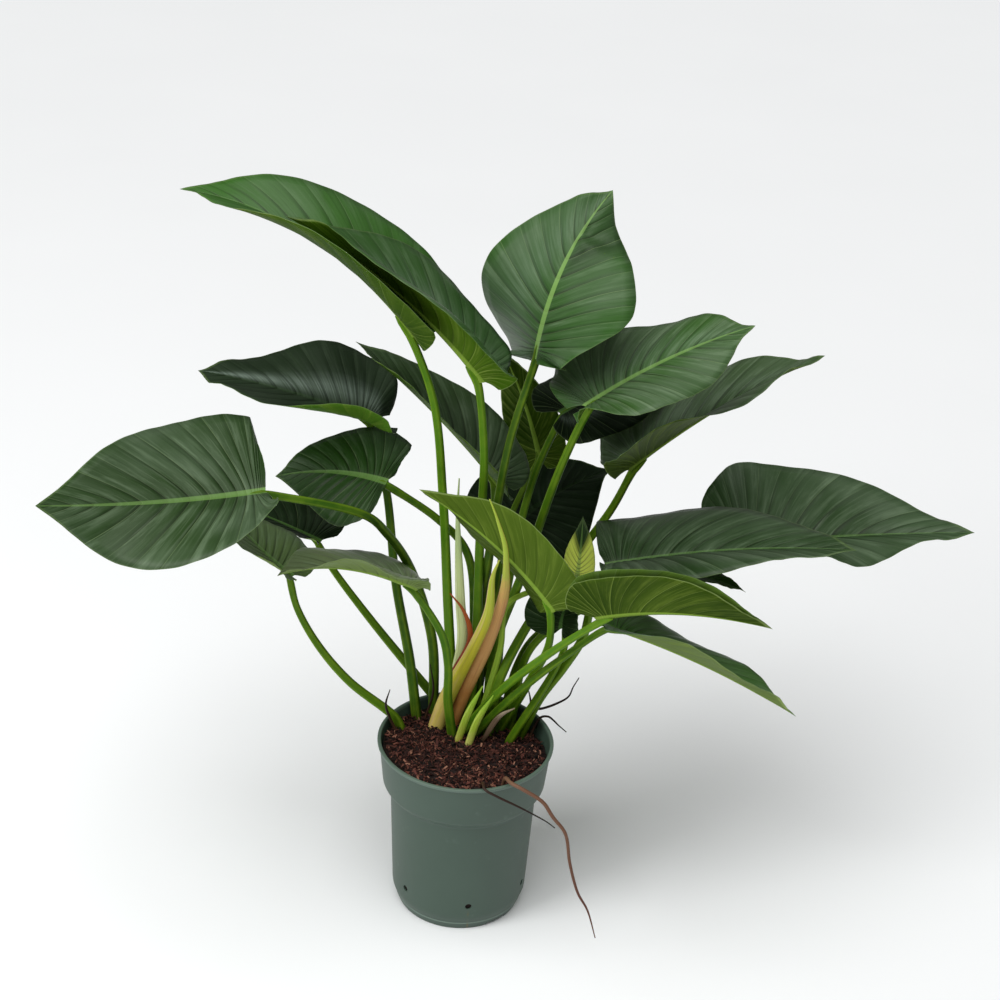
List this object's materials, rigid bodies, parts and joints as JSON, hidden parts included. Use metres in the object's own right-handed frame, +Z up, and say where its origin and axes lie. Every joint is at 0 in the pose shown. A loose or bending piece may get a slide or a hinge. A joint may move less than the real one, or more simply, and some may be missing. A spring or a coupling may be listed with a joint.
{
  "type": "potted philodendron",
  "caption": "Bushy potted philodendron with long upright petioles and large glossy heart-shaped leaves, in a tapered plastic nursery pot of bark mix.",
  "frame": {"origin": "middle of the pot's flat underside", "axes": "+Z up, along the pot's axis; -Y towards the side that the picture shows"},
  "size_m": [1.2203, 0.4823, 0.9888],
  "materials": {
    "pot": "satin muted grey-green moulded plastic",
    "bark_mix": "loose reddish-brown bark and coir chips",
    "leaf": "waxy dark green leaf, lighter underside and petiole",
    "young_leaf": "young yellow-green leaf",
    "sheath_yellow": "satin yellow-green sheath",
    "sheath_pink": "satin pink-orange sheath with a green tip",
    "pale_shoot": "pale green rolled leaf and spikes",
    "dry_brown": "dry red-brown plant tissue",
    "dark_stub": "old dark stalk stub",
    "root": "dull brown root"
  },
  "bodies": {
    "root": {"pot": "pot", "soil": "bark_mix", "leaf_01": "leaf", "leaf_02": "leaf", "leaf_03": "leaf", "leaf_04": "leaf", "leaf_05": "leaf", "leaf_06": "leaf", "leaf_07": "leaf", "leaf_08": "leaf", "leaf_09": "leaf", "leaf_10": "leaf", "leaf_11": "leaf", "leaf_12": "leaf", "leaf_13": "leaf", "leaf_14": "leaf", "leaf_15": "leaf", "leaf_16": "leaf", "leaf_17": "leaf", "leaf_18": "leaf", "leaf_19": "leaf", "leaf_20": "leaf", "leaf_21": "leaf", "leaf_22": "leaf", "leaf_23": "young_leaf", "sheath_yellow": "sheath_yellow", "sheath_pink": "sheath_pink", "spear_leaf": "pale_shoot", "bract_brown": "dry_brown", "shoot_left": "pale_shoot", "shoot_right": "pale_shoot", "old_stub": "dark_stub", "dry_scrap": "dry_brown", "root_long": "root", "root_short": "root", "root_left": "root", "root_right": "root", "root_right_low": "root", "root_mid": "root", "root_mid_right": "root", "root_back": "root", "root_back_right": "root"}
  },
  "joints": []
}
